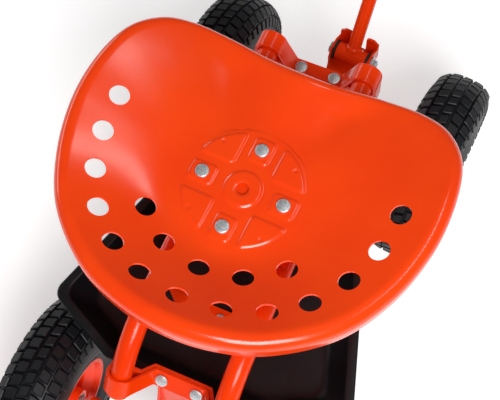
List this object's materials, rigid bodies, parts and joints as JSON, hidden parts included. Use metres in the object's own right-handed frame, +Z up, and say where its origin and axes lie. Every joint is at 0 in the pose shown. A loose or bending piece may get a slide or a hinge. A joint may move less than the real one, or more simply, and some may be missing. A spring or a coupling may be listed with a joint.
{
  "type": "rolling garden work seat",
  "caption": "Low four-wheeled cart with a pressed steel swivel seat, a black tool tray under two frame tubes, pneumatic tyres and a pull handle that steers the front wheels.",
  "frame": {"origin": "on the ground, under the middle of the cart's bounding box", "axes": "+X forward towards the pull handle, +Y to the rider's left, +Z up"},
  "size_m": [0.9313, 0.4206, 0.5958],
  "materials": {
    "seat_paint": "gloss powder coat, orange red",
    "frame_paint": "gloss powder coat, orange red",
    "rim_paint": "gloss powder coat, orange red",
    "zinc": "bright zinc plate",
    "tyre": "matt moulded rubber with block tread",
    "tray_plastic": "fine moulded grain",
    "bush_plastic": "smooth moulded nylon",
    "knob_plastic": "moulded, slightly glossy",
    "grip_rubber": "ribbed soft rubber",
    "washer_rubber": "smooth black rubber"
  },
  "bodies": {
    "chassis": {"left_frame_tube": "frame_paint", "right_frame_tube": "frame_paint", "seat_bridge": "frame_paint", "lock_nut": "zinc", "front_strap": "frame_paint", "front_strap_bolt_left": "zinc", "front_strap_bolt_right": "zinc", "rear_strap": "frame_paint", "rear_strap_bolt_left": "zinc", "rear_strap_bolt_right": "zinc", "front_column": "frame_paint", "rear_bracket": "frame_paint", "rear_axle": "zinc", "tool_tray": "tray_plastic", "tray_hanger_front": "frame_paint", "tray_hanger_rear": "frame_paint", "tray_screw_front": "zinc", "tray_screw_rear": "zinc", "left_kingpin": "zinc", "right_kingpin": "zinc", "tongue_bolt": "zinc", "rear_left_axle_nut": "zinc", "rear_right_axle_nut": "zinc"},
    "seat_post": {"seat_screw": "zinc"},
    "seat": {"seat_pan": "seat_paint", "seat_plate": "frame_paint", "seat_bolt_front": "zinc", "seat_bolt_left": "zinc", "seat_bolt_rear": "zinc", "seat_bolt_right": "zinc"},
    "tongue": {"tongue": "frame_paint", "clevis_bolt": "zinc", "clevis_nut": "zinc", "clevis_washer_left": "washer_rubber", "clevis_washer_right": "washer_rubber", "tie_pin_centre": "zinc"},
    "tie_rod": {"tie_rod": "frame_paint", "tie_pin_left": "zinc", "tie_pin_right": "zinc"},
    "left_knuckle": {"left_knuckle": "frame_paint", "front_left_axle_nut": "zinc"},
    "right_knuckle": {"right_knuckle": "frame_paint", "front_right_axle_nut": "zinc"},
    "handle": {"handle_tube": "frame_paint"},
    "handle_upper": {"handle_extension": "frame_paint", "grip_left": "grip_rubber", "grip_right": "grip_rubber"},
    "clamp_knob": {"clamp_knob": "knob_plastic"},
    "front_left_wheel": {"front_left_tyre": "tyre", "front_left_rim": "rim_paint", "front_left_bush": "bush_plastic"},
    "front_right_wheel": {"front_right_tyre": "tyre", "front_right_rim": "rim_paint", "front_right_bush": "bush_plastic"},
    "rear_left_wheel": {"rear_left_tyre": "tyre", "rear_left_rim": "rim_paint", "rear_left_bush": "bush_plastic"},
    "rear_right_wheel": {"rear_right_tyre": "tyre", "rear_right_rim": "rim_paint", "rear_right_bush": "bush_plastic"}
  },
  "joints": [
    {"name": "seat_height", "type": "slide", "parent": "chassis", "child": "seat_post", "axis": [0, 0, 1], "range_m": [0, 0.05]},
    {"name": "seat_swivel", "type": "hinge", "parent": "seat_post", "child": "seat", "pos_m": [-0.1064, 0, 0.421], "axis": [0, 0, 1], "continuous": true},
    {"name": "tongue_steer", "type": "hinge", "parent": "chassis", "child": "tongue", "pos_m": [0.1316, 0, 0.168], "axis": [0, 0, 1], "range_deg": [-25, 35]},
    {"name": "tie_rod_pivot", "type": "hinge", "parent": "tongue", "child": "tie_rod", "pos_m": [0.1575, -0.00227, 0.176], "axis": [0, 0, 1], "range_deg": [-35, 25]},
    {"name": "left_knuckle_steer", "type": "hinge", "parent": "chassis", "child": "left_knuckle", "pos_m": [0.1316, 0.09, 0.128], "axis": [0, 0, 1], "range_deg": [-25, 35]},
    {"name": "right_knuckle_steer", "type": "hinge", "parent": "chassis", "child": "right_knuckle", "pos_m": [0.1316, -0.09, 0.128], "axis": [0, 0, 1], "range_deg": [-25, 35]},
    {"name": "handle_tilt", "type": "hinge", "parent": "tongue", "child": "handle", "pos_m": [0.21428, -0.00723, 0.184], "axis": [0.0872, 0.9962, 0], "range_deg": [-40, 55]},
    {"name": "handle_extend", "type": "slide", "parent": "handle", "child": "handle_upper", "axis": [0.4981, -0.0436, 0.866], "range_m": [0, 0.12]},
    {"name": "clamp_knob_turn", "type": "hinge", "parent": "handle", "child": "clamp_knob", "pos_m": [0.35724, -0.01974, 0.43255], "axis": [-0.8627, 0.0755, 0.5], "range_deg": [0, 180]},
    {"name": "front_left_wheel_spin", "type": "hinge", "parent": "left_knuckle", "child": "front_left_wheel", "pos_m": [0.13727, 0.15475, 0.128], "axis": [0.0872, 0.9962, 0], "continuous": true},
    {"name": "front_right_wheel_spin", "type": "hinge", "parent": "right_knuckle", "child": "front_right_wheel", "pos_m": [0.12593, -0.15475, 0.128], "axis": [0.0872, 0.9962, 0], "continuous": true},
    {"name": "rear_left_wheel_spin", "type": "hinge", "parent": "chassis", "child": "rear_left_wheel", "pos_m": [-0.3404, 0.164, 0.128], "axis": [0, 1, 0], "continuous": true},
    {"name": "rear_right_wheel_spin", "type": "hinge", "parent": "chassis", "child": "rear_right_wheel", "pos_m": [-0.3404, -0.164, 0.128], "axis": [0, 1, 0], "continuous": true}
  ],
  "couplings": [
    {"joint": "tie_rod_pivot", "follows": "tongue_steer", "ratio": -1},
    {"joint": "left_knuckle_steer", "follows": "tongue_steer", "ratio": 1},
    {"joint": "right_knuckle_steer", "follows": "tongue_steer", "ratio": 1}
  ]
}
